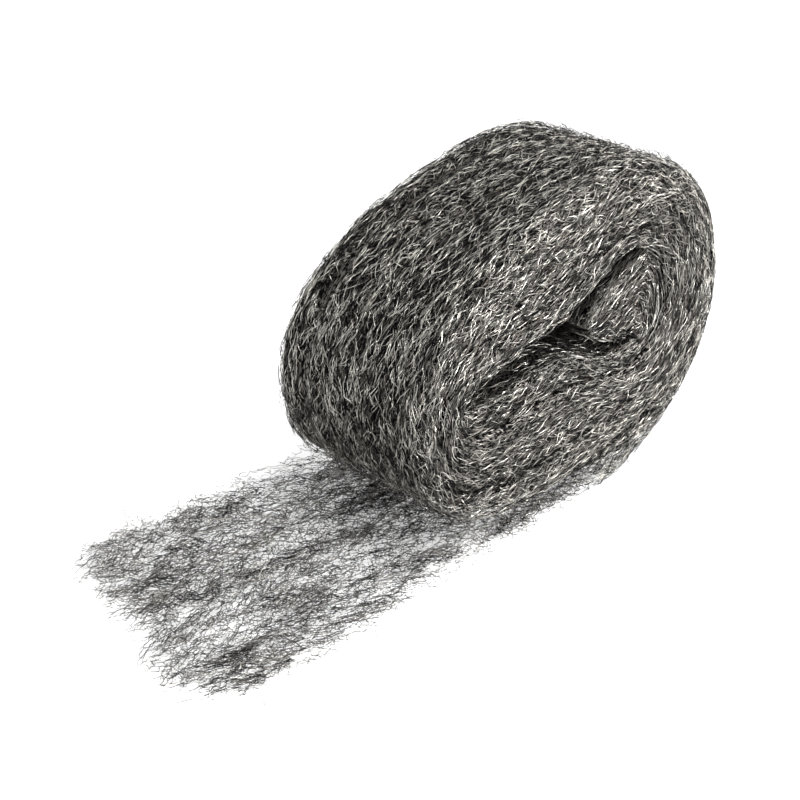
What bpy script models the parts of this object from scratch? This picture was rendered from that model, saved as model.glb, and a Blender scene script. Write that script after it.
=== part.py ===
# A roll of steel wool, made as the real one is: one long batt of fibres wound on itself.
# From its loose tail on the bench the batt passes under the roll, winds inwards turn by turn
# round a flattened core, and ends in a folded tongue that leaves a forked slit in the end face.
# X runs from the tail towards the roll, Y along the roll's axis and Z up.
# The origin is on the bench, below the middle of the roll.

import math

import bmesh
import bpy
from mathutils import Vector

MM = 0.001

# The roll seen on its end: an oval squashed by its own weight, with its long axis leaning
ROLL_LENGTH = 113.5 * MM
ROLL_HEIGHT = 79.0 * MM
ROLL_LEAN = math.radians(11.0)
ROLL_SQUARENESS = 2.2
REST_PRESS = 2.8 * MM

# The core that the turns close on: a narrow slit at the tail's side, and a lobe at the other
CORE_LENGTH = 64.6 * MM
CORE_LEAN = math.radians(6.3)
CORE_SQUARENESS = 2.7
CORE_SHIFT_X = -6.0 * MM
CORE_SHIFT_Z = 2.8 * MM
SLIT_HEIGHT = 7.0 * MM
LOBE_HEIGHT = 29.0 * MM
LOBE_START = -0.15
LOBE_FULL = 0.75

# The winding: how often the batt goes round, and the air between one turn and the next
TURNS = 4.75
TURN_GAP = 0.14
FOLD_STARTS = 0.62
TONGUE_STARTS = 0.40

# The batt's own width, its rounded edges and the shoulder that the outer turns make
BATT_WIDTH = 46.0 * MM
EDGE_ROUNDING = 2.2 * MM
SHOULDER_RADIUS = 12.0 * MM
SHOULDER_BUILDS_OVER = 0.35
TELESCOPE = 1.4 * MM

# The loose tail, drawn out on the bench and spread wider than the roll
TAIL_LENGTH = 108.0 * MM
TAIL_THICKNESS = 5.2 * MM
TAIL_END_THICKNESS = 2.6 * MM
TAIL_SPREAD_FAR = 18.5 * MM
TAIL_SPREAD_NEAR = 5.0 * MM
TAIL_SPREAD_POWER = 0.6
TAIL_NIP_TURNS = 0.13
TAIL_RIPPLE = 0.7 * MM
TAIL_SLANT = 0.3
TAIL_RAGGED = 1.8 * MM
TAIL_CORNER = 13.0 * MM
TAIL_NOTCH = 5.0 * MM

# The bunches that the fibres are combed into: ridges along the tail's top and the roll's outside
BUNCHES = 7
TAIL_FURROW = 1.9 * MM
TAIL_FURROW_MOST = 0.45
TAIL_FURROW_FADES = 0.12
WRAP_FURROW = 0.9 * MM
WRAP_FURROW_FADES = 0.06
WRAP_RUN = 300.0 * MM
BUNCH_BEND = 13.0 * MM
BUNCH_WANDER = 0.3

# How finely the batt is drawn
STEPS_PER_TURN = 40
TAIL_STEPS = 26
TONGUE_STEPS = 12
FLANK_STEPS = 4
STEPS_PER_BUNCH = 4
FACE_STEPS = BUNCHES * STEPS_PER_BUNCH

BOTTOM = -math.pi / 2

STEEL_COLOUR = (0.29, 0.29, 0.28, 1.0)
STEEL_ROUGHNESS = 0.45
STEEL_METALLIC = 0.9


def mix(a, b, share):
    return a + (b - a) * share


def ease(value):
    value = min(max(value, 0.0), 1.0)
    return value * value * (3.0 - 2.0 * value)


def signed_power(value, power):
    return math.copysign(abs(value) ** power, value)


def turned(x, z, angle):
    return Vector((x * math.cos(angle) - z * math.sin(angle), x * math.sin(angle) + z * math.cos(angle)))


def roll_centre():
    """The middle of the roll, at the height where its underside is pressed in by REST_PRESS."""
    power = ROLL_SQUARENESS / (ROLL_SQUARENESS - 1.0)
    length_part = (ROLL_LENGTH / 2 * math.sin(ROLL_LEAN)) ** power
    height_part = (ROLL_HEIGHT / 2 * math.cos(ROLL_LEAN)) ** power
    return Vector((0.0, (length_part + height_part) ** (1.0 / power) - REST_PRESS))


def core_centre():
    return roll_centre() + Vector((CORE_SHIFT_X, CORE_SHIFT_Z))


def core_half_height(along):
    """Half the core's height, from the slit's at one end to the lobe's at the other."""
    share = ease((along - LOBE_START) / (LOBE_FULL - LOBE_START))
    return mix(SLIT_HEIGHT, LOBE_HEIGHT, share) / 2


def ring_point(level, angle):
    """A point of the oval at a level between the core, 0, and the outside of the roll, 1."""
    power = 2.0 / mix(CORE_SQUARENESS, ROLL_SQUARENESS, level)
    along = signed_power(math.cos(angle), power)
    across = signed_power(math.sin(angle), power)
    half_length = mix(CORE_LENGTH, ROLL_LENGTH, level) / 2
    half_height = mix(core_half_height(along), ROLL_HEIGHT / 2, level)
    centre = core_centre().lerp(roll_centre(), level)
    return centre + turned(half_length * along, half_height * across, mix(CORE_LEAN, ROLL_LEAN, level))


def outer_level(turn):
    return 1.0 - turn / TURNS


def inner_level(turn):
    return outer_level(turn + 1.0) + TURN_GAP / TURNS


def angle_at(turn):
    return BOTTOM + turn * 2.0 * math.pi


def in_core(along, across):
    """A point given in shares of the core's half length and of the lobe's half height."""
    return core_centre() + turned(along * CORE_LENGTH / 2, across * LOBE_HEIGHT / 2, CORE_LEAN)


def smooth_path(points, share):
    """A Catmull-Rom curve through the points, read at a share of its way."""
    spans = len(points) - 1
    place = min(share * spans, spans - 1e-9)
    first = int(place)
    t = place - first
    p1, p2 = points[first], points[first + 1]
    p0 = points[first - 1] if first else p1 * 2 - p2
    p3 = points[first + 2] if first + 2 <= spans else p2 * 2 - p1
    bend = (p0 * 2 - p1 * 5 + p2 * 4 - p3) * t * t + (p1 * 3 - p0 - p2 * 3 + p3) * t * t * t
    return (p1 * 2 + (p2 - p0) * t + bend) / 2


def shoulder_inset(level):
    """How far the batt's edge stands back where the outer turns round off into the end face."""
    depth = (1.0 - level) * (ROLL_HEIGHT - LOBE_HEIGHT) / 2
    rest = SHOULDER_RADIUS - min(max(depth, 0.0), SHOULDER_RADIUS)
    return SHOULDER_RADIUS - math.sqrt(SHOULDER_RADIUS**2 - rest**2)


def flank_shares():
    """The batt's edge from its outer face, 0, to its inner face, 1, closer together at both."""
    return [(1.0 - math.cos(math.pi * i / FLANK_STEPS)) / 2 for i in range(FLANK_STEPS + 1)]


def section_places():
    """The section's points as (depth, side): depth 0 outer to 1 inner, side -1 near to 1 far.

    It starts and turns halfway down each edge, so that a cap can join opposite points.
    """
    shares = flank_shares()
    middle = FLANK_STEPS // 2
    faces = [mix(-1.0, 1.0, i / FACE_STEPS) for i in range(1, FACE_STEPS)]
    places = [(depth, -1.0) for depth in reversed(shares[: middle + 1])]
    places += [(0.0, side) for side in faces]
    places += [(depth, 1.0) for depth in shares]
    places += [(1.0, side) for side in reversed(faces)]
    places += [(depth, -1.0) for depth in reversed(shares[middle + 1 :])]
    return places


def edge_places(turn, depth, spread):
    """Where the batt's near and far edges run along Y, at a depth through its thickness."""
    level = mix(outer_level(turn), inner_level(turn), depth)
    shoulder = ease(turn / SHOULDER_BUILDS_OVER) * shoulder_inset(level)
    rounding = EDGE_ROUNDING * (1.0 - math.sin(math.pi * depth))
    half_width = BATT_WIDTH / 2 - shoulder - rounding
    shift = -TELESCOPE * math.sin(turn * 2.6) * ease(turn)
    near = shift - half_width - TAIL_SPREAD_NEAR * spread
    far = shift + half_width + TAIL_SPREAD_FAR * spread
    return near, far


def spread_at(x):
    """How much of its spread the tail has at a place along the bench: most of it near the roll."""
    return max(x / -TAIL_LENGTH, 0.0) ** TAIL_SPREAD_POWER


def furrow(side, run):
    """How deep the furrow between two bunches is, 0 to 1, at a side and a way along the batt."""
    wander = BUNCH_WANDER * (math.sin(run / BUNCH_BEND) + 0.6 * math.sin(1.8 * run / BUNCH_BEND + 2.0 * side))
    wave = 0.5 - 0.5 * math.cos(2.0 * math.pi * (BUNCHES * (side + 1.0) / 2 + wander))
    return wave * (1.0 - side**6)


def section(turn, outer, inner, spread=0.0, run=0.0, outer_furrow=0.0, inner_furrow=0.0):
    """One cross-section of the batt, between a point of its outer face and one of its inner face."""
    points = []
    thickness = (inner - outer).length
    for depth, side in section_places():
        near, far = edge_places(turn, depth, spread)
        pressed = outer_furrow if depth == 0.0 else -inner_furrow if depth == 1.0 else 0.0
        place = outer.lerp(inner, depth + pressed * furrow(side, run) / thickness)
        points.append(Vector((place.x, mix(near, far, (side + 1.0) / 2), place.y)))
    return points


def tail_end_reach(y, side):
    """How far the ragged free end reaches at a place across it, as a share of the tail's length."""
    ragged = TAIL_RAGGED * (0.6 * math.sin(y / (5.5 * MM)) + 0.4 * math.sin(y / (2.9 * MM) + 1.0))
    near_edge = -BATT_WIDTH / 2 - TAIL_SPREAD_NEAR
    corner = TAIL_CORNER * ease(1.0 - (y - near_edge) / TAIL_CORNER)
    notch = TAIL_NOTCH * furrow(side, TAIL_LENGTH)
    return 1.0 - (ragged + TAIL_SLANT * y + corner + notch) / TAIL_LENGTH


def tail_sections():
    """The tail from its ragged free end to the nip, where the roll comes down on it."""
    nip = ring_point(inner_level(-TAIL_NIP_TURNS), angle_at(-TAIL_NIP_TURNS)).x
    sections = []
    for step in range(TAIL_STEPS):
        share = 1.0 - step / TAIL_STEPS
        x = mix(nip, -TAIL_LENGTH, share)
        ripple = TAIL_RIPPLE * math.sin(x / (7.0 * MM)) * share * (1.0 - share) * 4.0
        top = mix(TAIL_THICKNESS, TAIL_END_THICKNESS, ease(share)) + ripple
        pressed = min(TAIL_FURROW, TAIL_FURROW_MOST * top) * ease(share / TAIL_FURROW_FADES)
        points = section(-1.0, Vector((x, 0.0)), Vector((x, top)), spread_at(x), -x, 0.0, pressed)
        for point, (_, side) in zip(points, section_places()):
            point.x = mix(nip, -TAIL_LENGTH * tail_end_reach(point.y, side), share)
        sections.append(points)
    return sections


def nip_sections():
    """The batt between the nip and the bottom of the roll, under the turn that rests on it."""
    steps = max(2, round(TAIL_NIP_TURNS * STEPS_PER_TURN))
    sections = []
    for step in range(steps):
        turn = -TAIL_NIP_TURNS * (1.0 - step / steps)
        inner = ring_point(inner_level(turn), angle_at(turn))
        inner.y = min(inner.y, TAIL_THICKNESS)
        sections.append(section(-1.0, Vector((inner.x, 0.0)), inner, spread_at(inner.x)))
    return sections


def wound_sections(last_turn):
    """The turns of the roll, from its flattened underside inwards."""
    sections = []
    for step in range(round(last_turn * STEPS_PER_TURN)):
        turn = step / STEPS_PER_TURN
        outer = ring_point(outer_level(turn), angle_at(turn))
        outer.y = max(outer.y, 0.0)
        inner = ring_point(inner_level(turn), angle_at(turn))
        pressed = WRAP_FURROW * ease(turn / WRAP_FURROW_FADES) * ease((1.0 - turn) / WRAP_FURROW_FADES)
        sections.append(section(turn, outer, inner, 0.0, turn * WRAP_RUN, pressed))
    return sections


def tongue_sections(first_turn):
    """The batt's inner end: it folds back round the slit's lower fork and ends as a tongue."""
    last_turn = TURNS - TONGUE_STARTS
    outer_bend = [ring_point(outer_level(first_turn), angle_at(first_turn))]
    bend_steps = round((last_turn - first_turn) * STEPS_PER_TURN)
    for step in range(1, bend_steps + 1):
        turn = first_turn + step / STEPS_PER_TURN
        outer_bend.append(ring_point(outer_level(turn), angle_at(turn)))
    inner_start = ring_point(inner_level(first_turn), angle_at(first_turn))
    fold = [inner_start, in_core(0.80, -0.70), in_core(0.785, -0.60), in_core(0.72, -0.53)]
    tongue_top = [in_core(0.60, 0.67), in_core(0.40, 0.60), in_core(0.30, 0.38), in_core(0.245, 0.08)]
    tongue_foot = [in_core(0.60, -0.50), in_core(0.46, -0.40), in_core(0.34, -0.26), in_core(0.26, -0.06)]
    tongue_top.insert(0, outer_bend[-1])
    tongue_foot.insert(0, fold[-1])
    sections = []
    for step, outer in enumerate(outer_bend):
        inner = smooth_path(fold, step / bend_steps)
        sections.append(section(first_turn + step / STEPS_PER_TURN, outer, inner))
    for step in range(1, TONGUE_STEPS + 1):
        share = step / TONGUE_STEPS
        outer = smooth_path(tongue_top, share)
        sections.append(section(last_turn, outer, smooth_path(tongue_foot, share)))
    return sections


def batt_sections():
    first_fold_turn = round((TURNS - FOLD_STARTS) * STEPS_PER_TURN) / STEPS_PER_TURN
    roll = wound_sections(first_fold_turn) + tongue_sections(first_fold_turn)
    return tail_sections() + nip_sections() + roll


def loft(bm, sections):
    """Joins each section to the next one with a band of faces, and caps both ends."""
    rings = [[bm.verts.new(point) for point in points] for points in sections]
    count = len(rings[0])
    for ring, following in zip(rings, rings[1:]):
        for i in range(count):
            j = (i + 1) % count
            bm.faces.new((ring[i], following[i], following[j], ring[j]))
    for ring in (rings[0], rings[-1]):
        for i in range(count // 2):
            corners = [ring[i], ring[i + 1], ring[-i - 1], ring[-i % count]]
            bm.faces.new(list(dict.fromkeys(corners)))
    bmesh.ops.recalc_face_normals(bm, faces=bm.faces)


def steel_wool_material():
    material = bpy.data.materials.new("grey_steel_wool")
    material.use_nodes = True
    shader = material.node_tree.nodes["Principled BSDF"]
    shader.inputs["Base Color"].default_value = STEEL_COLOUR
    shader.inputs["Roughness"].default_value = STEEL_ROUGHNESS
    shader.inputs["Metallic"].default_value = STEEL_METALLIC
    return material


def make_roll(collection):
    mesh = bpy.data.meshes.new("steel_wool_roll")
    bm = bmesh.new()
    loft(bm, batt_sections())
    bm.to_mesh(mesh)
    bm.free()
    mesh.materials.append(steel_wool_material())
    mesh.shade_smooth()
    mesh.set_sharp_from_angle(angle=math.radians(50.0))
    roll = bpy.data.objects.new("steel_wool_roll", mesh)
    collection.objects.link(roll)
    return roll


def main():
    for obj in list(bpy.data.objects):
        bpy.data.objects.remove(obj, do_unlink=True)
    collection = bpy.data.collections.new("steel_wool_pad")
    bpy.context.scene.collection.children.link(collection)
    make_roll(collection)


main()
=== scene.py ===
import math

import bmesh
import bpy
import numpy as np
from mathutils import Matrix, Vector, noise


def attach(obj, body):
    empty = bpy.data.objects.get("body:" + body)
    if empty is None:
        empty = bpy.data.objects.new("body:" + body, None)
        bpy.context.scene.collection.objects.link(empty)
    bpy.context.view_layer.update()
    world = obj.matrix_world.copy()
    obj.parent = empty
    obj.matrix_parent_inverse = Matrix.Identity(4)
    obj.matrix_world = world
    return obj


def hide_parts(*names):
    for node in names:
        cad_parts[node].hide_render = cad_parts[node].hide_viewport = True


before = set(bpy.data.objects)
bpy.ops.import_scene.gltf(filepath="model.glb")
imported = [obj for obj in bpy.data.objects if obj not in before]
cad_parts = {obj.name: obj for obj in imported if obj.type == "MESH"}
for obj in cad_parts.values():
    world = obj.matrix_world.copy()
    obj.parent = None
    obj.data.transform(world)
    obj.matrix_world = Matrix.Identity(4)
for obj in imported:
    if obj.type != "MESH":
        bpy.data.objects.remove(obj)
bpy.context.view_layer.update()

# A roll of steel wool: a lumpy core wound as the real batt is, painted near-black as the shade
# deep between the strands, covered with thousands of crimped steel strands, and a loose tail on the
# bench that is nothing but strands.
# X runs from the tail towards the roll, Y along the roll's axis and Z up from the bench.

mm = 0.001
bottom = -math.pi / 2
dice = np.random.default_rng(7)

# Camera, bench and light

view = {
    "azimuth": -45.7,
    "elevation": 27.4,
    "distance": 0.41875,
    "target": (-0.035, 0.0, 0.0302),
    "lens": 85.5,
    "sensor": 36.0,
    "clip": (0.01, 20.0),
}

studio = {
    "benchSize": 6.0,
    "benchColour": 0.8,
    "benchGlow": 0.68,
    "skyLight": 0.40,
    "lookAt": (-0.02, 0.0, 0.03),
}

lamps = {
    "keyLamp": {"place": (0.45, -0.85, 0.24), "size": 0.30, "power": 17.5},
    "wrapLamp": {"place": (-0.12, -0.40, 0.88), "size": 0.40, "power": 7.5},
    "rimLamp": {"place": (0.80, 0.10, 0.40), "size": 0.35, "power": 1.0},
}


def lookingBack():
    # the direction from the roll to the camera
    azimuth = math.radians(view["azimuth"])
    elevation = math.radians(view["elevation"])
    level = math.cos(elevation)
    return Vector((math.sin(azimuth) * level, -math.cos(azimuth) * level, math.sin(elevation)))


def makeCamera():
    data = bpy.data.cameras.new("camera")
    data.lens = view["lens"]
    data.sensor_width = view["sensor"]
    data.clip_start, data.clip_end = view["clip"]
    camera = bpy.data.objects.new("camera", data)
    camera.location = Vector(view["target"]) + lookingBack() * view["distance"]
    camera.rotation_mode = "QUATERNION"
    camera.rotation_quaternion = (-lookingBack()).to_track_quat("-Z", "Y")
    bpy.context.scene.collection.objects.link(camera)
    bpy.context.scene.camera = camera


def seenAsWhite(nodes, links):
    # 1 for what is seen straight, mirrored or through glass, and 0 for other light on the object
    path = nodes.new("ShaderNodeLightPath")
    total = path.outputs["Is Camera Ray"]
    for ray in ("Is Glossy Ray", "Is Transmission Ray"):
        either = nodes.new("ShaderNodeMath")
        either.operation = "MAXIMUM"
        links.new(total, either.inputs[0])
        links.new(path.outputs[ray], either.inputs[1])
        total = either.outputs[0]
    return total


def makeBench():
    bm = bmesh.new()
    bmesh.ops.create_grid(bm, x_segments=1, y_segments=1, size=studio["benchSize"] / 2)
    mesh = bpy.data.meshes.new("bench")
    bm.to_mesh(mesh)
    bm.free()
    material = bpy.data.materials.new("pale_bench")
    material.use_nodes = True
    nodes, links = material.node_tree.nodes, material.node_tree.links
    nodes.clear()
    paint = nodes.new("ShaderNodeBsdfDiffuse")
    paint.inputs["Color"].default_value = (studio["benchColour"],) * 3 + (1.0,)
    glow = nodes.new("ShaderNodeEmission")
    glowing = nodes.new("ShaderNodeMath")
    glowing.operation = "MULTIPLY"
    glowing.inputs[1].default_value = studio["benchGlow"]
    links.new(seenAsWhite(nodes, links), glowing.inputs[0])
    links.new(glowing.outputs[0], glow.inputs["Strength"])
    both = nodes.new("ShaderNodeAddShader")
    links.new(paint.outputs[0], both.inputs[0])
    links.new(glow.outputs[0], both.inputs[1])
    links.new(both.outputs[0], nodes.new("ShaderNodeOutputMaterial").inputs["Surface"])
    mesh.materials.append(material)
    bench = bpy.data.objects.new("bench", mesh)
    bpy.context.scene.collection.objects.link(bench)


def makeSky():
    world = bpy.data.worlds.new("white_studio")
    world.use_nodes = True
    nodes, links = world.node_tree.nodes, world.node_tree.links
    strength = nodes.new("ShaderNodeMapRange")
    strength.inputs["To Min"].default_value = studio["skyLight"]
    strength.inputs["To Max"].default_value = 1.0
    links.new(seenAsWhite(nodes, links), strength.inputs["Value"])
    links.new(strength.outputs["Result"], nodes["Background"].inputs["Strength"])
    nodes["Background"].inputs["Color"].default_value = (1.0, 1.0, 1.0, 1.0)
    bpy.context.scene.world = world


def makeLamps():
    for name, lamp in lamps.items():
        data = bpy.data.lights.new(name, "AREA")
        data.shape = "DISK"
        data.size = lamp["size"]
        data.energy = lamp["power"]
        light = bpy.data.objects.new(name, data)
        light.location = lamp["place"]
        aim = Vector(studio["lookAt"]) - light.location
        light.rotation_mode = "QUATERNION"
        light.rotation_quaternion = aim.to_track_quat("-Z", "Y")
        bpy.context.scene.collection.objects.link(light)


# The batt's way, close to the CAD part's. A point of the roll's end face is x + z * 1j.
# The roll is 2 mm shorter here and its turns telescope less, because strands stand off it.

roll = {
    "length": 111.5 * mm,
    "height": 79.0 * mm,
    "lean": 12.2,
    "squareness": 2.2,
    "press": 2.8 * mm,
}

core = {
    "length": 64.6 * mm,
    "lean": 6.3,
    "squareness": 2.7,
    "shift": (-6.0 + 2.8j) * mm,
    "slitHeight": 7.0 * mm,
    "lobeHeight": 29.0 * mm,
    "lobeStart": -0.15,
    "lobeFull": 0.75,
}

winding = {
    "turns": 4.75,
    "gap": 0.14,
    "foldStarts": 0.62,
    "tongueStarts": 0.40,
    "heart": (3.0, 3.4),  # the turns over which the batt comes to lie along the slit
    "telescope": 0.6 * mm,
    "telescopeSwing": 2.6,
    "stepsPerTurn": 80,
    "tongueSteps": 24,
}

# the tongue's ways, along and across the core as shares of its half length and half height;
# its top lies a little lower than the solid's, so that the slit's upper branch shows
tongue = {
    "fold": ((0.80, -0.70), (0.785, -0.60), (0.72, -0.53)),
    "top": ((0.62, 0.50), (0.44, 0.36), (0.33, 0.18), (0.25, 0.02)),
    "foot": ((0.60, -0.50), (0.46, -0.40), (0.34, -0.26), (0.26, -0.06)),
}

# the strands bridge the turns, so the batt's edges are rounded less here than in the solid
battShape = {
    "width": 46.0 * mm,
    "rounding": 0.5 * mm,
    "shoulder": 12.0 * mm,
    "shoulderTurns": 0.35,
}

combing = {
    "bunches": 7,
    "bend": 13.0 * mm,
    "wander": 0.3,
    "secondWander": (0.6, 1.8, 2.0),  # size, rate and how it shifts from side to side
    "edgePower": 6,
    "wrapRun": 300.0 * mm,
    "wrapFurrow": 0.9 * mm,
    "wrapFades": 0.06,
    "wrapReach": 0.4,
    "tailFurrow": 0.35,
    "tailStarts": 0.12,
    "notch": 2.0 * mm,
    "hemAt": 0.70,
    "hemWidth": 0.09,
    "hemFurrow": 1.5 * mm,
}

tail = {
    "length": 108.0 * mm,
    "thickness": 5.2 * mm,
    "endThickness": 2.6 * mm,
    "spreadFar": 18.5 * mm,
    "spreadNear": 5.0 * mm,
    "spreadPower": 0.6,
    "nipTurns": 0.13,
    "slant": 0.3,
    "ragged": 1.8 * mm,
    "raggedWaves": ((5.5 * mm, 0.6, 0.0), (2.9 * mm, 0.4, 1.0)),  # length, share and start
    "corner": 13.0 * mm,
    "steps": 50,
}


def mix(a, b, share):
    return a + (b - a) * share


def ease(value):
    value = np.clip(value, 0.0, 1.0)
    return value * value * (3.0 - 2.0 * value)


def signedPower(value, power):
    return np.sign(value) * np.abs(value) ** power


def leaning(degrees):
    return np.exp(1j * np.radians(degrees))


def rollCentre():
    power = roll["squareness"] / (roll["squareness"] - 1.0)
    lengthPart = (roll["length"] / 2 * abs(leaning(roll["lean"]).imag)) ** power
    heightPart = (roll["height"] / 2 * abs(leaning(roll["lean"]).real)) ** power
    return 1j * ((lengthPart + heightPart) ** (1.0 / power) - roll["press"])


def coreCentre():
    return rollCentre() + core["shift"]


def coreHalfHeight(along):
    share = ease((along - core["lobeStart"]) / (core["lobeFull"] - core["lobeStart"]))
    return mix(core["slitHeight"], core["lobeHeight"], share) / 2


def ringPoint(level, angle):
    # the oval at a level between the core, 0, and the outside of the roll, 1
    power = 2.0 / mix(core["squareness"], roll["squareness"], level)
    along = signedPower(np.cos(angle), power)
    across = signedPower(np.sin(angle), power)
    halfLength = mix(core["length"], roll["length"], level) / 2
    halfHeight = mix(coreHalfHeight(along), roll["height"] / 2, level)
    lean = leaning(mix(core["lean"], roll["lean"], level))
    reach = halfLength * along + 1j * halfHeight * across
    return mix(coreCentre(), rollCentre(), level) + reach * lean


def heartShare(turn):
    starts, full = winding["heart"]
    return ease((turn - starts) / (full - starts))


def outerLevel(turn):
    return 1.0 - turn / winding["turns"]


def innerLevel(turn):
    return outerLevel(turn + 1.0) + winding["gap"] / winding["turns"]


def angleAt(turn):
    return bottom + turn * 2.0 * math.pi


def inCore(along, across):
    half = along * core["length"] / 2 + 1j * across * core["lobeHeight"] / 2
    return coreCentre() + half * leaning(core["lean"])


def allInCore(places):
    return [inCore(along, across) for along, across in places]


def smoothPath(points, share):
    # a smooth curve through the points, at a share of the way along
    spans = len(points) - 1
    place = min(share * spans, spans - 1e-9)
    first = int(place)
    t = place - first
    p1, p2 = points[first], points[first + 1]
    p0 = points[first - 1] if first else p1 * 2 - p2
    p3 = points[first + 2] if first + 2 <= spans else p2 * 2 - p1
    bend = (p0 * 2 - p1 * 5 + p2 * 4 - p3) * t * t + (p1 * 3 - p0 - p2 * 3 + p3) * t * t * t
    return (p1 * 2 + (p2 - p0) * t + bend) / 2


def shoulderInset(level):
    # how far the outer turns' edges draw in, so that the roll's rim is round
    depth = (1.0 - level) * (roll["height"] - core["lobeHeight"]) / 2
    rest = battShape["shoulder"] - np.clip(depth, 0.0, battShape["shoulder"])
    return battShape["shoulder"] - np.sqrt(battShape["shoulder"] ** 2 - rest**2)


def edgePlaces(turn, depth, spread):
    # where the batt's near and far edges are along the roll's axis
    level = mix(outerLevel(turn), innerLevel(turn), depth)
    shoulder = ease(turn / battShape["shoulderTurns"]) * shoulderInset(level)
    rounding = battShape["rounding"] * (1.0 - np.sin(math.pi * depth))
    halfWidth = battShape["width"] / 2 - shoulder - rounding
    shift = -winding["telescope"] * np.sin(turn * winding["telescopeSwing"]) * ease(turn)
    near = shift - halfWidth - tail["spreadNear"] * spread
    far = shift + halfWidth + tail["spreadFar"] * spread
    return near, far


def spreadAt(x):
    return max(x / -tail["length"], 0.0) ** tail["spreadPower"]


def furrow(side, run):
    # how deep the furrow between two bunches is, 0 to 1, at a side and a way along the batt
    bend = run / combing["bend"]
    size, rate, shift = combing["secondWander"]
    wander = combing["wander"] * (np.sin(bend) + size * np.sin(rate * bend + shift * side))
    wave = 0.5 - 0.5 * np.cos(2.0 * math.pi * (combing["bunches"] * (side + 1.0) / 2 + wander))
    return wave * (1.0 - np.clip(np.abs(side), 0.0, 1.0) ** combing["edgePower"])


def tailReach(y, side):
    # how far the ragged free end reaches, as a share of the tail's length
    waves = [share * np.sin(y / long + start) for long, share, start in tail["raggedWaves"]]
    ragged = tail["ragged"] * sum(waves)
    nearEdge = -battShape["width"] / 2 - tail["spreadNear"]
    corner = tail["corner"] * ease(1.0 - (y - nearEdge) / tail["corner"])
    notch = combing["notch"] * furrow(side, tail["length"])
    return 1.0 - (ragged + tail["slant"] * y + corner + notch) / tail["length"]


def followBatt():
    # stations along the batt from its free end to the tongue's tip, each of them
    # (turn, outer place, inner place, spread, share of the tail), with turn -1 before the wrap
    stations = []
    nip = ringPoint(innerLevel(-tail["nipTurns"]), angleAt(-tail["nipTurns"])).real
    for step in range(tail["steps"]):
        share = 1.0 - step / tail["steps"]
        x = mix(nip, -tail["length"], share)
        top = mix(tail["thickness"], tail["endThickness"], ease(share))
        stations.append((-1.0, x, x + 1j * top, spreadAt(x), share))
    perTurn = winding["stepsPerTurn"]
    for step in range(round(tail["nipTurns"] * perTurn)):
        turn = -tail["nipTurns"] + step / perTurn
        inner = ringPoint(innerLevel(turn), angleAt(turn))
        inner = inner.real + 1j * min(inner.imag, tail["thickness"])
        stations.append((-1.0, inner.real, inner, spreadAt(inner.real), 0.0))
    # the fold starts a whole and even number of steps in
    firstFold = round((winding["turns"] - winding["foldStarts"]) * perTurn / 2) * 2 / perTurn
    for step in range(round(firstFold * perTurn)):
        turn = step / perTurn
        outer = ringPoint(outerLevel(turn), angleAt(turn))
        outer = outer.real + 1j * max(outer.imag, 0.0)
        stations.append((turn, outer, ringPoint(innerLevel(turn), angleAt(turn)), 0.0, 0.0))
    lastTurn = winding["turns"] - winding["tongueStarts"]
    bendSteps = round((lastTurn - firstFold) * perTurn)
    fold = [ringPoint(innerLevel(firstFold), angleAt(firstFold))] + allInCore(tongue["fold"])
    for step in range(bendSteps + 1):
        turn = firstFold + step / perTurn
        outer = ringPoint(outerLevel(turn), angleAt(turn))
        stations.append((turn, outer, smoothPath(fold, step / bendSteps), 0.0, 0.0))
    top = [outer] + allInCore(tongue["top"])
    foot = [fold[-1]] + allInCore(tongue["foot"])
    for step in range(1, winding["tongueSteps"] + 1):
        share = step / winding["tongueSteps"]
        stations.append((lastTurn, smoothPath(top, share), smoothPath(foot, share), 0.0, 0.0))
    turn, outer, inner, spread, share = (np.array(row) for row in zip(*stations))
    outer, inner = outer.astype(complex), inner.astype(complex)
    middle = (outer + inner) / 2
    return {
        "s": np.concatenate([[0.0], np.cumsum(np.abs(np.diff(middle)))]),
        "turn": turn,
        "outer": outer,
        "inner": inner,
        "spread": spread,
        "tail": share,
        "thick": np.abs(inner - outer),
    }


batt = followBatt()
isWound = batt["turn"] >= 0.0
woundStart = float(batt["s"][isWound][0])
nipStart = float(batt["s"][batt["tail"] > 0.0][-1])
battEnd = float(batt["s"][-1])


def alongBatt(name, s):
    return np.interp(s, batt["s"], batt[name])


def sAtTurn(turn):
    return float(np.interp(turn, batt["turn"][isWound], batt["s"][isWound]))


def battPoint(s, depth, side, lift=0.0):
    # s runs along the batt, depth is 0 outside and 1 inside, side -1 near and 1 far,
    # and lift goes along the roll's axis, in metres
    turn = alongBatt("turn", s)
    onTail = alongBatt("tail", s)
    wrapped = ease(turn / combing["wrapFades"]) * ease((1.0 - turn) / combing["wrapFades"])
    shallow = np.clip(1.0 - depth / combing["wrapReach"], 0.0, 1.0)
    pressed = combing["wrapFurrow"] / alongBatt("thick", s) * wrapped * shallow
    squashed = combing["tailFurrow"] * ease(onTail / combing["tailStarts"]) * np.clip(depth, 0.0, 1.0)
    fromHem = (side - combing["hemAt"]) / combing["hemWidth"]
    hem = combing["hemFurrow"] / combing["wrapFurrow"] * np.exp(-(fromHem**2))
    combed = depth + pressed * (furrow(side, turn * combing["wrapRun"]) + hem)
    combed = combed - squashed * furrow(side, onTail * tail["length"])
    place = mix(alongBatt("outer", s), alongBatt("inner", s), combed)
    near, far = edgePlaces(turn, np.clip(depth, 0.0, 1.0), alongBatt("spread", s))
    y = mix(near, far, (side + 1.0) / 2) + lift
    x = place.real + np.minimum(s, 0.0)
    x = x - tail["length"] * onTail * (tailReach(y, side) - 1.0)
    return np.stack([x, y, place.imag], -1)


# The core under the strands, painted near-black with faint strand streaks as painted shade between the
# strands: the wound batt itself, without the open tail

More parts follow.
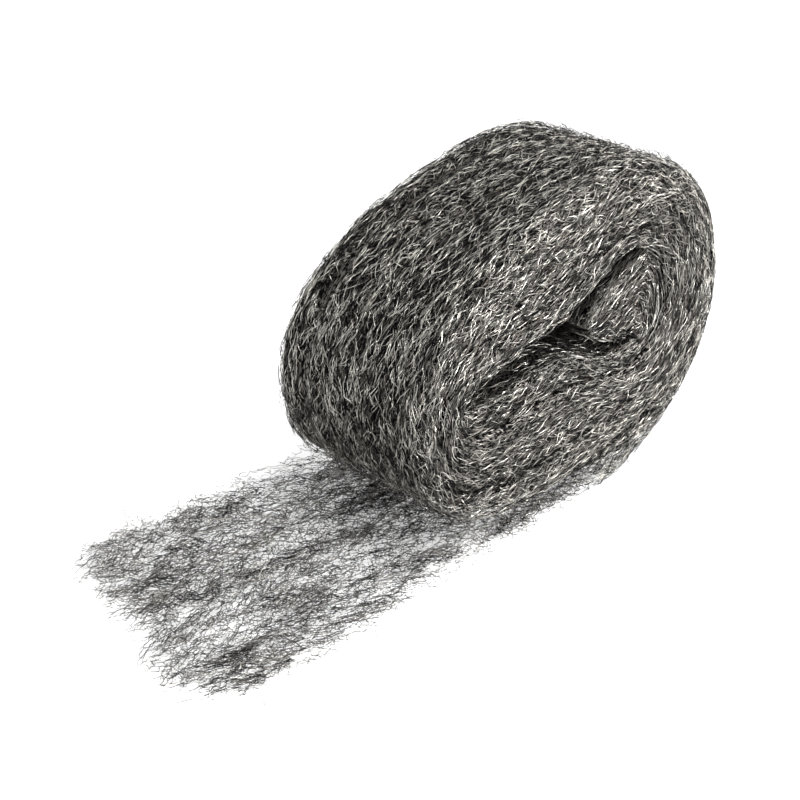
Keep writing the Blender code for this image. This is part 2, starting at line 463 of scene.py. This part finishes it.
coreBody = {
    "outerDepth": 0.24,  # under the outermost turn's strands
    "buriedDepth": -0.02,  # of the turns inside it, which touch
    "buriedFrom": (0.97, 0.1),  # the turn, and over how much of a turn
    "innerDepth": 1.14,
    "heartDepth": 0.96,
    "bulge": 0.85,
    "bulgeWidth": 0.35,
    "edgeInset": 0.5 * mm,
    "start": 9.0 * mm,
    "startShare": 0.15,
    "taper": 27.0 * mm,
    "insetLimit": 0.35,  # of the batt's width
    "footInset": 5.0 * mm,
    "footTurns": (0.14, 0.05),  # on the far and on the near side
    "stopsApart": 2.5 * mm,
    "flankSteps": 4,
    "faceSteps": 10,
    "lump": 0.5 * mm,
    "lumpSize": 9.0 * mm,
    "overBench": 0.3 * mm,
    "fill": 0.4,
}

coreLook = {
    "metallic": 1.0,
    "roughness": 0.55,
    "swirlSize": 5.0 * mm,
    "swirl": 1.0 * mm,
    # of each layer of streaks: scale along the batt, scale across it, and lean
    "layers": ((430.0, 2900.0, 0.0), (460.0, 3200.0, 0.20), (440.0, 2700.0, -0.22)),
    "lineStarts": 0.62,
    "lineFull": 0.645,
    # the near-black is painted shade deep between the strands; the bright streaks are the strands' own
    # lines
    "dark": (0.002, 0.002, 0.002, 1.0),
    "bright": (0.14, 0.13, 0.12, 1.0),
    "relief": 0.08 * mm,
}


def battPlaces(flankSteps, faceSteps):
    # the section's outline as (depth, side), starting and turning halfway down each edge
    shares = [(1.0 - math.cos(math.pi * i / flankSteps)) / 2 for i in range(flankSteps + 1)]
    middle = flankSteps // 2
    faces = [mix(-1.0, 1.0, i / faceSteps) for i in range(1, faceSteps)]
    places = [(depth, -1.0) for depth in reversed(shares[: middle + 1])]
    places += [(0.0, side) for side in faces]
    places += [(depth, 1.0) for depth in shares]
    places += [(1.0, side) for side in reversed(faces)]
    return places + [(depth, -1.0) for depth in reversed(shares[middle + 1 :])]


def strandLayer(nodes, links, source, layer):
    # one layer of fine streaks that run along the batt, leaning a little to one side
    alongScale, acrossScale, lean = layer
    apart = nodes.new("ShaderNodeSeparateXYZ")
    links.new(source, apart.inputs[0])
    joined = nodes.new("ShaderNodeCombineXYZ")
    stretched = nodes.new("ShaderNodeMath")
    stretched.operation = "MULTIPLY"
    stretched.inputs[1].default_value = alongScale
    links.new(apart.outputs["X"], stretched.inputs[0])
    links.new(stretched.outputs[0], joined.inputs["X"])
    for axis in "YZ":
        sheared = nodes.new("ShaderNodeMath")
        sheared.operation = "MULTIPLY_ADD"
        sheared.inputs[1].default_value = lean
        links.new(apart.outputs["X"], sheared.inputs[0])
        links.new(apart.outputs[axis], sheared.inputs[2])
        scaled = nodes.new("ShaderNodeMath")
        scaled.operation = "MULTIPLY"
        scaled.inputs[1].default_value = acrossScale
        links.new(sheared.outputs[0], scaled.inputs[0])
        links.new(scaled.outputs[0], joined.inputs[axis])
    streak = nodes.new("ShaderNodeTexNoise")
    streak.inputs["Scale"].default_value = 1.0
    streak.inputs["Detail"].default_value = 0.0
    links.new(joined.outputs[0], streak.inputs["Vector"])
    line = nodes.new("ShaderNodeMapRange")
    line.inputs["From Min"].default_value = coreLook["lineStarts"]
    line.inputs["From Max"].default_value = coreLook["lineFull"]
    links.new(streak.outputs["Fac"], line.inputs["Value"])
    return line.outputs["Result"]


def woolCoreShadeMaterial():
    material = bpy.data.materials.new("packed_wool_with_painted_shade")
    material.use_nodes = True
    nodes, links = material.node_tree.nodes, material.node_tree.links
    shader = nodes["Principled BSDF"]
    shader.inputs["Metallic"].default_value = coreLook["metallic"]
    shader.inputs["Roughness"].default_value = coreLook["roughness"]
    where = nodes.new("ShaderNodeAttribute")
    where.attribute_name = "battPlace"
    swirl = nodes.new("ShaderNodeTexNoise")
    swirl.inputs["Scale"].default_value = 1.0 / coreLook["swirlSize"]
    swirl.inputs["Detail"].default_value = 1.0
    links.new(where.outputs["Vector"], swirl.inputs["Vector"])
    swirled = nodes.new("ShaderNodeVectorMath")
    swirled.operation = "MULTIPLY_ADD"
    swing = coreLook["swirl"] * 2.0
    swirled.inputs[1].default_value = (0.0, swing, swing)
    links.new(swirl.outputs["Color"], swirled.inputs[0])
    links.new(where.outputs["Vector"], swirled.inputs[2])
    total = None
    for layer in coreLook["layers"]:
        line = strandLayer(nodes, links, swirled.outputs[0], layer)
        if total is None:
            total = line
            continue
        either = nodes.new("ShaderNodeMath")
        either.operation = "MAXIMUM"
        links.new(total, either.inputs[0])
        links.new(line, either.inputs[1])
        total = either.outputs[0]
    # the ramp paints the gaps between the streaks near-black, as painted shade
    tone = nodes.new("ShaderNodeValToRGB")
    tone.color_ramp.elements[0].color = coreLook["dark"]
    tone.color_ramp.elements[1].color = coreLook["bright"]
    links.new(total, tone.inputs["Fac"])
    links.new(tone.outputs["Color"], shader.inputs["Base Color"])
    relief = nodes.new("ShaderNodeBump")
    relief.inputs["Distance"].default_value = coreLook["relief"]
    links.new(total, relief.inputs["Height"])
    links.new(relief.outputs["Normal"], shader.inputs["Normal"])
    return material


def makeWoolCore():
    places = battPlaces(coreBody["flankSteps"], coreBody["faceSteps"])
    depth, side = (np.array(row) for row in zip(*places))
    bm = bmesh.new()
    place = bm.verts.layers.int.new("place")
    battPlace = bm.verts.layers.float_vector.new("battPlace")
    first = nipStart + coreBody["start"]

    def settle(verts, s):
        # moves a ring of the core to its station along the batt
        turn = float(alongBatt("turn", s))
        grown = mix(coreBody["startShare"], 1.0, float(ease((s - first) / coreBody["taper"])))
        # halfway through the roll the slit's walls swell and close it
        bulge = coreBody["bulge"] * np.exp(-((side / coreBody["bulgeWidth"]) ** 2))
        inner = mix(coreBody["innerDepth"], coreBody["heartDepth"] + bulge, float(heartShare(turn)))
        starts, over = coreBody["buriedFrom"]
        buried = float(ease((turn - starts) / over))
        outer = mix(coreBody["outerDepth"], coreBody["buriedDepth"], buried)
        inset = mix(outer, inner, depth) * grown
        # the strip's spreading edges are left to the open strands
        spread = np.where(side > 0.0, tail["spreadFar"], tail["spreadNear"])
        flare = spread * float(alongBatt("spread", s))
        foot = ease(1.0 - turn / np.where(side > 0.0, *coreBody["footTurns"]))
        narrower = coreBody["edgeInset"] + flare + coreBody["footInset"] * foot
        narrower = np.minimum(narrower, coreBody["insetLimit"] * battShape["width"] * grown)
        points = battPoint(np.full(len(places), s), inset, side * grown, -side * narrower)
        thick = float(alongBatt("thick", s))
        for vert in verts:
            i = vert[place]
            vert.co = points[i]
            vert[battPlace] = (s, points[i][1], inset[i] * thick)

    ring = bmesh.ops.create_circle(bm, segments=len(places), radius=mm)["verts"]
    for i, vert in enumerate(ring):
        vert[place] = i
    stops = list(np.arange(first, woundStart, coreBody["stopsApart"]))
    stops += list(batt["s"][isWound][::2])
    settle(ring, stops[0])
    edges = bm.edges[:]
    bmesh.ops.edgeloop_fill(bm, edges=edges)
    for s in stops[1:]:
        grown = bmesh.ops.extrude_edge_only(bm, edges=edges)["geom"]
        settle([g for g in grown if isinstance(g, bmesh.types.BMVert)], s)
        edges = [g for g in grown if isinstance(g, bmesh.types.BMEdge)]
    bmesh.ops.edgeloop_fill(bm, edges=edges)
    bmesh.ops.recalc_face_normals(bm, faces=bm.faces)
    bm.normal_update()
    for vert in bm.verts:  # the lumps of a batt that was never quite even
        lump = noise.noise(Vector(vert[battPlace]) / coreBody["lumpSize"])
        vert.co += vert.normal * coreBody["lump"] * lump
        vert.co.z = max(vert.co.z, coreBody["overBench"])
    bm.verts.layers.int.remove(place)
    mesh = bpy.data.meshes.new("wool_core")
    bm.to_mesh(mesh)
    bm.free()
    mesh.shade_smooth()
    mesh.materials.append(woolCoreShadeMaterial())
    body = bpy.data.objects.new("wool_core", mesh)
    bpy.context.scene.collection.objects.link(body)
    smooth = body.modifiers.new("smooth", "SUBSURF")
    smooth.levels = smooth.render_levels = 1
    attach(body, "root")
    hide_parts("steel_wool_roll")
    print("wool core:", len(mesh.polygons), "faces before smoothing")


# The strands: crimped tubes of shaved steel, each lying along the batt

# one steel in five tones: the near-black strands are painted shade for strands deep in shadow, the
# bright ones, lighter than steel, a painted glint for strands that catch the lamps, grey and pale lie
# between them, and warm is an oxidised tint
finishes = {
    "painted_shade_strand": {"colour": (0.008, 0.008, 0.008), "metallic": 1.0, "roughness": 0.5},
    "grey_strand": {"colour": (0.135, 0.13, 0.12), "metallic": 1.0, "roughness": 0.4},
    "pale_strand": {"colour": (0.435, 0.42, 0.385), "metallic": 1.0, "roughness": 0.38},
    "painted_glint_strand": {"colour": (0.77, 0.745, 0.685), "metallic": 1.0, "roughness": 0.35},
    "warm_strand": {"colour": (0.17, 0.15, 0.13), "metallic": 1.0, "roughness": 0.42},
}

# how strands bend: packed ones are combed nearly straight, and open ones curl; steps are
# the fewest and the most in a strand, lean is in radians, and each swing has its wave's length
packed = {
    "radius": 0.066 * mm,
    "step": 1.5 * mm,
    "steps": (2, 3),
    "lean": 0.24,
    "slowSwing": (0.1, 0.8),
    "slowWave": (7.0 * mm, 16.0 * mm),
    "quickSwing": (0.05, 0.4),
    "quickWave": (4.0 * mm, 7.0 * mm),
    "rise": (0.03 * mm, 0.3 * mm),
    "riseWave": (5.0 * mm, 12.0 * mm),
}
curly = {
    "radius": 0.060 * mm,
    "step": 1.25 * mm,
    "steps": (7, 15),
    "lean": 0.45,
    "slowSwing": (0.2, 1.0),
    "slowWave": (5.0 * mm, 11.0 * mm),
    "quickSwing": (0.4, 1.3),
    "quickWave": (2.4 * mm, 4.2 * mm),
    "rise": (0.1 * mm, 0.7 * mm),
    "riseWave": (3.0 * mm, 8.0 * mm),
}
sturdy = dict(packed, radius=0.072 * mm)
fuzz = dict(curly, radius=0.046 * mm, step=0.9 * mm, steps=(2, 5), lean=0.8)

tube = {
    "corners": 3,
    "width": (0.75, 1.15),
    "swell": 0.25,
    "swellRate": (0.5, 1.5),
    "tip": 0.5,
    "turned": 6.3,  # radians, and so is the most that it twists at a step
    "twist": 0.6,
    "overBench": 1.7,  # least height of the strand's middle, in radii
    "merge": 0.0001 * mm,
}


def makeFinishes():
    made = []
    for name, look in finishes.items():
        material = bpy.data.materials.new(name)
        material.use_nodes = True
        shader = material.node_tree.nodes["Principled BSDF"]
        shader.inputs["Base Color"].default_value = look["colour"] + (1.0,)
        shader.inputs["Metallic"].default_value = look["metallic"]
        shader.inputs["Roughness"].default_value = look["roughness"]
        made.append(material)
    return made


def makeProfile(name, radius):
    # a strand's three-sided section, as a shaving of steel has
    data = bpy.data.curves.new(name, "CURVE")
    data.dimensions = "2D"
    corners = data.splines.new("POLY")
    corners.points.add(tube["corners"] - 1)
    for i in range(tube["corners"]):
        angle = -2.0 * math.pi * i / tube["corners"]
        corners.points[i].co = (math.cos(angle) * radius, math.sin(angle) * radius, 0.0, 1.0)
    corners.use_cyclic_u = True
    return bpy.data.objects.new(name, data)


def between(limits, count):
    return dice.uniform(limits[0], limits[1], (count, 1))


def crimp(style, count, steps):
    # how strands wander from their middle: along, across and out of their sheet, in metres
    t = np.arange(steps + 1) * style["step"]
    heading = dice.normal(0.0, style["lean"], (count, 1))
    for swing, wave in (("slowSwing", "slowWave"), ("quickSwing", "quickWave")):
        phase = between((0.0, 2.0 * math.pi), count)
        turns = 2.0 * math.pi * t / between(style[wave], count) + phase
        heading = heading + between(style[swing], count) * np.sin(turns)
    along = np.cumsum(np.cos(heading), 1) * style["step"]
    across = np.cumsum(np.sin(heading), 1) * style["step"]
    phase = between((0.0, 2.0 * math.pi), count)
    height = between(style["rise"], count)
    rise = height * np.sin(2.0 * math.pi * t / between(style["riseWave"], count) + phase)
    along = along - along.mean(1, keepdims=True)
    across = across - across.mean(1, keepdims=True)
    return along, across, rise


def makeStrands(name, style, paths, shares, replacing=False):
    # the paths become closed three-sided tubes in one mesh, and shares say how common
    # each finish is, in the order of the finishes
    profile = makeProfile(name + "_profile", style["radius"])
    data = bpy.data.curves.new(name, "CURVE")
    data.dimensions = "3D"
    data.bevel_mode = "OBJECT"
    data.bevel_object = profile
    data.use_fill_caps = True
    for material in strandFinishes:
        data.materials.append(material)
    tones = dice.choice(len(finishes), len(paths), p=np.array(shares) / sum(shares))
    for path, tone in zip(paths, tones):
        count = len(path)
        spline = data.splines.new("POLY")
        spline.points.add(count - 1)
        points = np.ones((count, 4))
        points[:, :3] = path
        points[:, 2] = np.maximum(points[:, 2], tube["overBench"] * style["radius"])
        spline.points.foreach_set("co", points.ravel())
        number = np.arange(count)
        width = dice.uniform(*tube["width"])
        width = width * (1.0 + tube["swell"] * np.sin(number * dice.uniform(*tube["swellRate"])))
        width[[0, -1]] *= tube["tip"]
        spline.points.foreach_set("radius", width)
        turned = dice.uniform(0.0, tube["turned"])
        twist = dice.uniform(-tube["twist"], tube["twist"])
        spline.points.foreach_set("tilt", turned + number * twist)
        spline.material_index = int(tone)
        spline.use_smooth = True
    curve = bpy.data.objects.new(name + "_curve", data)
    bpy.context.scene.collection.objects.link(curve)
    evaluated = curve.evaluated_get(bpy.context.evaluated_depsgraph_get())
    mesh = bpy.data.meshes.new_from_object(evaluated)
    bpy.data.objects.remove(curve)
    bpy.data.objects.remove(profile)
    bm = bmesh.new()
    bm.from_mesh(mesh)
    bmesh.ops.remove_doubles(bm, verts=bm.verts, dist=tube["merge"])
    bmesh.ops.recalc_face_normals(bm, faces=bm.faces)
    bm.to_mesh(mesh)
    bm.free()
    mesh.name = name
    while mesh.uv_layers:
        mesh.uv_layers.remove(mesh.uv_layers[0])
    piece = bpy.data.objects.new(name, mesh)
    bpy.context.scene.collection.objects.link(piece)
    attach(piece, "root")
    if replacing:
        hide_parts("steel_wool_roll")
    triangles = sum(len(p.vertices) - 2 for p in mesh.polygons)
    print(f"{name}: {len(paths)} strands, {triangles} triangles")


def byLength(style, count, build):
    # calls build(number, steps) for each length of strand and collects the paths
    paths = []
    lengths = dice.integers(style["steps"][0], style["steps"][1] + 1, count)
    for steps, number in zip(*np.unique(lengths, return_counts=True)):
        paths += list(build(int(number), int(steps)))
    return paths


def facingCamera(points, normals):
    # 1 where a surface looks straight at the camera, 0 edge on and less where it looks away
    eye = np.array(Vector(view["target"]) + lookingBack() * view["distance"])
    ray = eye - points
    ray /= np.linalg.norm(ray, axis=-1, keepdims=True)
    return (ray * normals).sum(-1)


def pick(weights, count):
    # the numbers of some of the pool, heavier ones more often
    return dice.choice(len(weights), count, p=weights / weights.sum())


def wrapFacing(s, side):
    # how far the wrap turns to the camera at a place, 1 straight at it and 0 on the outline
    outward = alongBatt("outer", s) - alongBatt("inner", s)
    outward = outward / np.abs(outward)
    normal = np.stack([outward.real, 0.0 * s, outward.imag], -1)
    return facingCamera(battPoint(s, 0.0, side), normal)


wrap = {
    "front": 10800,
    "back": 2700,
    "turns": (0.03, 1.0),
    "seenFrom": -0.1,
    "unseen": 1e-9,  # a weight too small to be picked
    "depth": (-0.01, 0.20),
    "combedEdge": 0.25,  # within this much of the batt's edges the strands lie straighter
    "pastEdge": 1.06,
    "straightest": 0.1,
    "poolSize": 8,
}


def wrapStrands(front):
    # the roll's outside, as the camera sees it or else the rest of it
    def build(count, steps):
        pool = count * wrap["poolSize"]
        fromTurn, toTurn = wrap["turns"]
        s = dice.uniform(sAtTurn(fromTurn), sAtTurn(toTurn), pool)
        side = dice.uniform(-1.0, 1.0, pool)
        seen = wrapFacing(s, side) > wrap["seenFrom"]
        chosen = pick(np.where(seen == front, 1.0, wrap["unseen"]), count)
        s, side = s[chosen, None], side[chosen, None]
        along, across, rise = crimp(packed, count, steps)
        depth = dice.uniform(*wrap["depth"], (count, 1)) + rise / alongBatt("thick", s)
        near, far = edgePlaces(alongBatt("turn", s), np.clip(depth, 0.0, 1.0), 0.0 * s)
        fromEdge = (wrap["pastEdge"] - np.abs(side)) / wrap["combedEdge"]
        straighter = np.clip(fromEdge, wrap["straightest"], 1.0)
        return battPoint(s + along, depth, side + straighter * across * 2.0 / (far - near))

    return byLength(packed, wrap["front"] if front else wrap["back"], build)


face = {
    "nearOuter": 8000,
    "nearHeart": 5000,
    "far": 2700,
    "heartFrom": 1.7,
    "tongueFrom": 4.2,
    "lift": (-0.3 * mm, 0.7 * mm),
    "bridge": 0.14,
    "reach": (-0.6, 1.6),  # how far strands may cross onto the turns outside and inside
    "besideSlit": 0.99,
    "fade": 16.0 * mm,
    "nudge": 0.02,
    "poolSize": 8,
}


def faceStrands(count, side, fromS, toS):
    # the wound batt's edges, on the near face where side is -1 and on the far one where it is 1
    def build(number, steps):
        pool = number * face["poolSize"]
        s = dice.uniform(fromS, toS, pool)
        turn = alongBatt("turn", s)
        heart = heartShare(turn)
        # strands reach onto the next turn, but not over the slit or off the roll
        over = face["bridge"] * (1.0 - heart)
        depth = dice.uniform(-over * (turn > 1.0), 1.0 + over)
        nudge = face["nudge"]
        inward = np.clip(depth, nudge, 1.0 - nudge)
        below = edgePlaces(turn, inward - nudge, 0.0)[0]
        above = edgePlaces(turn, inward + nudge, 0.0)[0]
        slope = (above - below) / (2.0 * nudge)
        width = np.sqrt(alongBatt("thick", s) ** 2 + slope**2)
        # the far face fades into the open strip
        chosen = pick(width * ease(1.0 + (s - woundStart) / face["fade"]), number)
        s, turn, depth, width, heart = (row[chosen, None] for row in (s, turn, depth, width, heart))
        along, across, rise = crimp(packed, number, steps)
        lift = side * (dice.uniform(*face["lift"], (number, 1)) + rise)
        onTurn = (turn > 1.0) & (turn < face["tongueFrom"])
        least = np.where(onTurn, face["reach"][0], 0.0)
        most = mix(face["reach"][1], face["besideSlit"], heart)
        depth = np.clip(depth + across / width, least, most)
        return battPoint(np.minimum(s + along, battEnd), depth, side, lift)

    return byLength(packed, count, build)


slit = {
    "count": 2900,
    "onTongue": 0.45,
    "tongueTop": 0.5,
    "tongueFrom": 4.3,
    "wallTurns": (3.1, 4.35),
    "reach": 0.9,  # how far in they go, as a share of half the width
    "nearer": 1.5,  # above 1, more of them lie near the open end
    "unseen": 0.12,
    "web": 6.0 * mm,  # the most that they stand off the wall
    "tight": 0.1,  # the share of it round the tongue, near the open end
    "hollowTurns": (3.5, 4.1),
    "hollowFades": 0.15,
    "deepFrom": -0.65,
    "webFrom": -0.97,
    "deepens": 0.4,
    "poolSize": 8,
}


def slitStrands():
    # the walls of the forked slit and the tongue between them, seen down the open end
    def build(number, steps):
        pool = number * slit["poolSize"]
        onTongue = dice.uniform(0, 1, pool) < slit["onTongue"]
        outside = onTongue & (dice.uniform(0, 1, pool) < slit["tongueTop"])
        tongueS = dice.uniform(sAtTurn(slit["tongueFrom"]), battEnd, pool)
        fromTurn, toTurn = slit["wallTurns"]
        wallS = dice.uniform(sAtTurn(fromTurn), sAtTurn(toTurn), pool)
        s = np.where(onTongue, tongueS, wallS)
        side = -1.0 + dice.uniform(0.0, 1.0, pool) ** slit["nearer"] * slit["reach"]
        inward = alongBatt("inner", s) - alongBatt("outer", s)
        inward = np.where(outside, -inward, inward) / np.abs(inward)
        normal = np.stack([inward.real, 0.0 * s, inward.imag], -1)
        seen = facingCamera(battPoint(s, np.where(outside, 0.0, 1.0), side), normal)
        chosen = pick(np.where(seen > 0.0, 1.0, slit["unseen"]), number)
        s, side, outside = (row[chosen, None] for row in (s, side, outside))
        # further in, strands stand off the walls and cross the hollow
        turn = alongBatt("turn", s)
        starts, ends = slit["hollowTurns"]
        fades = slit["hollowFades"]
        inHollow = ease((turn - starts) / fades) * ease((ends - turn) / fades)
        hollow = mix(slit["tight"], 1.0, inHollow)
        hollow = mix(hollow, 1.0, ease((side - slit["deepFrom"]) / slit["deepens"]))
        off = slit["web"] * hollow * dice.uniform(0.0, 1.0, (number, 1)) ** 2
        off = off * ease((side - slit["webFrom"]) / slit["deepens"])
        along, across, rise = crimp(packed, number, steps)
        beyond = (off + np.abs(rise)) / alongBatt("thick", s)
        depth = np.where(outside, -beyond, 1.0 + beyond)
        return battPoint(np.minimum(s + along, battEnd), depth, side + across / (battShape["width"] / 2))

    return byLength(packed, slit["count"], build)


loose = {
    "count": 2500,
    "fromTurn": 0.05,
    "wrapEnds": 1.0,
    "faceEnds": 2.0,
    "lift": (0.2 * mm, 2.0 * mm),
    "onWrap": 0.75,
    "onNearFace": 0.7,
    "anywhere": 0.12,
    "outline": 0.3,
    "rim": 0.12,
    "rimShare": 2.5,
    "sideways": 14.0 * mm,
    "pastEdge": 1.15,
    "poolSize": 8,
}


def looseStrands():
    # stray strands that stand off the roll and blur its outline
    def build(number, steps):
        pool = number * loose["poolSize"]
        start = sAtTurn(loose["fromTurn"])
        wrapS = dice.uniform(start, sAtTurn(loose["wrapEnds"]), pool)
        wrapSide = dice.uniform(-1.0, 1.0, pool)
        facing = wrapFacing(wrapS, wrapSide)
        outline = np.exp(-((facing / loose["outline"]) ** 2))
        rim = (facing < 0.0) * np.exp(-(((wrapSide + 1.0) / loose["rim"]) ** 2))
        chosen = pick(loose["anywhere"] + outline + loose["rimShare"] * rim, number)
        onWrap = dice.uniform(0, 1, (number, 1)) < loose["onWrap"]
        faceS = dice.uniform(start, sAtTurn(loose["faceEnds"]), (number, 1))
        s = np.where(onWrap, wrapS[chosen, None], faceS)
        along, across, rise = crimp(fuzz, number, steps)
        # one end lies on the roll and the other stands off it
        off = dice.uniform(*loose["lift"], (number, 1)) * np.linspace(0.0, 1.0, steps + 1) + rise
        thick = alongBatt("thick", s)
        sign = np.where(dice.uniform(0, 1, (number, 1)) < loose["onNearFace"], -1.0, 1.0)
        faceDepth = dice.uniform(0.0, 1.0, (number, 1)) + across / thick
        depth = np.where(onWrap, -off / thick, faceDepth)
        side = np.where(onWrap, wrapSide[chosen, None] + across / loose["sideways"], sign)
        side = np.clip(side, -loose["pastEdge"], loose["pastEdge"])
        lift = np.where(onWrap, 0.0, sign * off)
        return battPoint(s + along, depth, side, lift)

    return byLength(fuzz, loose["count"], build)


tailBed = {
    "nearRoll": 2500,
    "farEnd": 2480,
    "meetAt": 52.0 * mm,
    "runsUnder": 0.13,
    "combed": 0.22,
    "patchy": 0.6,
    "patch": (7.0 * mm, 2.6 * mm),
    "edge": 0.14,
    "edgeShare": 0.3,
    "pastEdge": 1.12,
    "hidden": 7.0 * mm,
    "shownFrom": (0.70, 0.1),  # the side, and over how much of it
    "shownShare": 2.0,
    "thinnest": 0.06,
    "lowest": 0.02,
    "settled": 1.3,  # above 1, more strands lie low in the tail than on its top
    "poolSize": 6,
    "clumps": (  # place along and across, size and strength of the thick and the thin spots
        (-99.0 * mm, -18.0 * mm, 9.0 * mm, 0.4),
        (-72.0 * mm, -4.0 * mm, 9.0 * mm, 0.3),
        (-92.0 * mm, 14.0 * mm, 7.0 * mm, 0.4),
        (-88.0 * mm, -8.0 * mm, 6.0 * mm, -0.4),
        (-50.0 * mm, 26.0 * mm, 9.0 * mm, -0.3),
        (-60.0 * mm, -22.0 * mm, 9.0 * mm, -0.3),
        (-28.0 * mm, 6.0 * mm, 16.0 * mm, 1.2),
    ),
}


def tailDensity(points, side, s):
    # how thick the tail lies at each place: combed bunches, patches, clumps and thin edges
    run = alongBatt("tail", s) * tail["length"]
    density = 1.0 - tailBed["combed"] * furrow(side, run)
    patches = points / (*tailBed["patch"], 1.0)
    density = density * (1.0 + tailBed["patchy"] * np.array([noise.noise(Vector(p)) for p in patches]))
    for x, y, size, strength in tailBed["clumps"]:
        away = ((points[:, 0] - x) ** 2 + (points[:, 1] - y) ** 2) / size**2
        density = density * (1.0 + strength * np.exp(-away))
    thinning = ease((1.0 - np.abs(side)) / tailBed["edge"])
    # under the roll only the strip's two edges show
    under = ease((s - nipStart - tailBed["hidden"]) / tailBed["hidden"])
    starts, over = tailBed["shownFrom"]
    atEdges = tailBed["shownShare"] * ease((np.abs(side) - starts) / over)
    shown = mix(1.0, atEdges, under)
    density = np.clip(density, tailBed["thinnest"], None)
    return density * mix(tailBed["edgeShare"], 1.0, thinning) * shown


def tailStrands(count, fromS, toS):
    # the open strands of the tail, from one place along the batt to another
    def build(number, steps):
        pool = number * tailBed["poolSize"]
        s = dice.uniform(fromS, toS, pool)
        side = dice.uniform(-1.0, 1.0, pool)
        points = battPoint(s, 0.5, side)
        chosen = pick(tailDensity(points, side, s), number)
        s, side = s[chosen, None], side[chosen, None]
        along, across, rise = crimp(curly, number, steps)
        near, far = edgePlaces(-1.0, 0.5, alongBatt("spread", s))
        side = side + across * 2.0 / (far - near)
        side = np.clip(side, -tailBed["pastEdge"], tailBed["pastEdge"])
        depth = dice.uniform(tailBed["lowest"], 1.0, (number, 1)) ** tailBed["settled"]
        return battPoint(s + along, depth + rise / alongBatt("thick", s), side)

    return byLength(curly, count, build)


makeCamera()
makeBench()
makeSky()
makeLamps()
print("camera, bench and light are set")

makeWoolCore()
strandFinishes = makeFinishes()

# how common each finish is: dark (painted shade), grey, pale, bright (painted glint) and warm; the wrap
# has many of both painted shade and glints, the heart more painted shade round the slit, and the slit
# fewer dark ones, so that its walls are painted lighter than their shade
finishShares = {
    "wrap": [0.56, 0.04, 0.07, 0.29, 0.04],
    "face": [0.44, 0.10, 0.26, 0.15, 0.05],
    "heart": [0.50, 0.11, 0.22, 0.12, 0.05],
    "slit": [0.32, 0.20, 0.29, 0.14, 0.05],
    "loose": [0.46, 0.34, 0.10, 0.03, 0.07],
    "tail": [0.52, 0.30, 0.09, 0.03, 0.06],
}

wrapFront = wrapStrands(True)
makeStrands("wrap_strands_front", sturdy, wrapFront, finishShares["wrap"])
wrapBack = wrapStrands(False)
makeStrands("wrap_strands_back", sturdy, wrapBack, finishShares["wrap"])
heartStart = sAtTurn(face["heartFrom"])
nearFace = faceStrands(face["nearOuter"], -1.0, sAtTurn(0.0), heartStart)
makeStrands("near_face_strands", packed, nearFace, finishShares["face"])
nearHeart = faceStrands(face["nearHeart"], -1.0, heartStart, battEnd)
makeStrands("near_heart_strands", packed, nearHeart, finishShares["heart"])
farFace = faceStrands(face["far"], 1.0, woundStart - face["fade"], battEnd)
makeStrands("far_face_strands", packed, farFace, finishShares["face"])
makeStrands("slit_strands", packed, slitStrands(), finishShares["slit"])
makeStrands("loose_strands", fuzz, looseStrands(), finishShares["loose"])
tailEnd = tailStrands(tailBed["farEnd"], 0.0, tailBed["meetAt"])
makeStrands("tail_end_strands", curly, tailEnd, finishShares["tail"], replacing=True)
tailRoot = tailStrands(tailBed["nearRoll"], tailBed["meetAt"], sAtTurn(tailBed["runsUnder"]))
makeStrands("tail_root_strands", curly, tailRoot, finishShares["tail"])

bpy.context.scene.view_settings.view_transform = "Standard"
